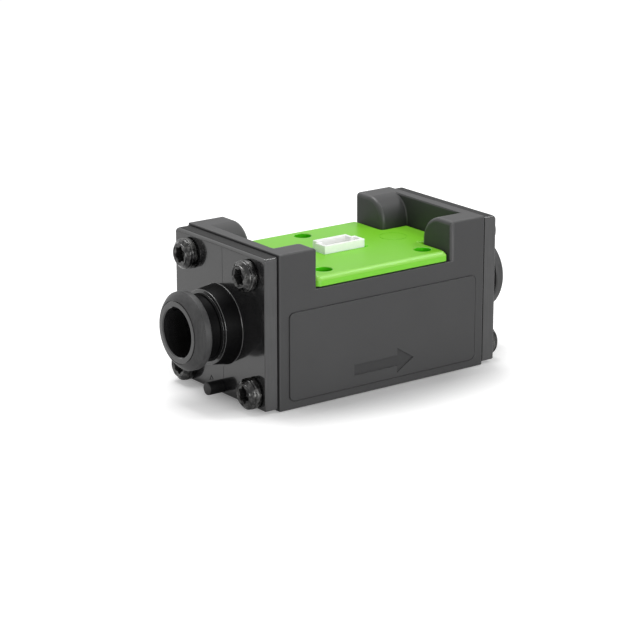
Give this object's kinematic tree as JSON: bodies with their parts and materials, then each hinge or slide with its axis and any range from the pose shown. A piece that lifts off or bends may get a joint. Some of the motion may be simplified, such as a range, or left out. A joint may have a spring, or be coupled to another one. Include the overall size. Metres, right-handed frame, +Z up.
{
  "type": "gas flow sensor",
  "caption": "In-line gas flow sensor: a moulded block with a beaded hose port on each end plate, a screwed-on cover between corner posts and a shrouded wire header on top.",
  "frame": {"origin": "centre of the base, on the surface the sensor stands on", "axes": "+X along the gas flow from inlet port to outlet port, +Y to the rear (the flow arrow faces -Y), +Z up"},
  "size_m": [0.0746, 0.0306, 0.0303],
  "materials": {
    "body_plastic": "satin moulded",
    "port_plastic": "gloss moulded",
    "blackened_steel": "blackened, polished",
    "black_rubber": "plain",
    "screen_steel": "plain",
    "straightener_plastic": "plain moulded",
    "cover_plastic": "semi-gloss moulded",
    "header_nylon": "satin moulded",
    "pin_tin": "tinned",
    "board_laminate": "solder resist",
    "carrier_ceramic": "fired ceramic",
    "silicon": "polished",
    "chip_epoxy": "moulded epoxy",
    "capacitor_can": "bright"
  },
  "bodies": {
    "root": {"flow_body": "body_plastic", "inlet_fitting": "port_plastic", "outlet_fitting": "port_plastic", "inlet_screw_front_top": "blackened_steel", "inlet_screw_front_bottom": "blackened_steel", "inlet_screw_rear_top": "blackened_steel", "inlet_screw_rear_bottom": "blackened_steel", "outlet_screw_front_top": "blackened_steel", "outlet_screw_front_bottom": "blackened_steel", "outlet_screw_rear_top": "blackened_steel", "outlet_screw_rear_bottom": "blackened_steel", "inlet_o_ring": "black_rubber", "outlet_o_ring": "black_rubber", "inlet_screen": "screen_steel", "outlet_screen": "screen_steel", "flow_straightener": "straightener_plastic", "sensor_cover": "cover_plastic", "cover_screw_front_left": "blackened_steel", "cover_screw_front_right": "blackened_steel", "cover_screw_rear": "blackened_steel", "connector_housing": "header_nylon", "connector_pin_1": "pin_tin", "connector_pin_2": "pin_tin", "connector_pin_3": "pin_tin", "connector_pin_4": "pin_tin", "circuit_board": "board_laminate", "sensor_carrier": "carrier_ceramic", "sensor_chip": "silicon", "carrier_gasket": "black_rubber", "signal_processor": "chip_epoxy", "voltage_regulator": "chip_epoxy", "smoothing_capacitor": "capacitor_can"}
  },
  "joints": []
}
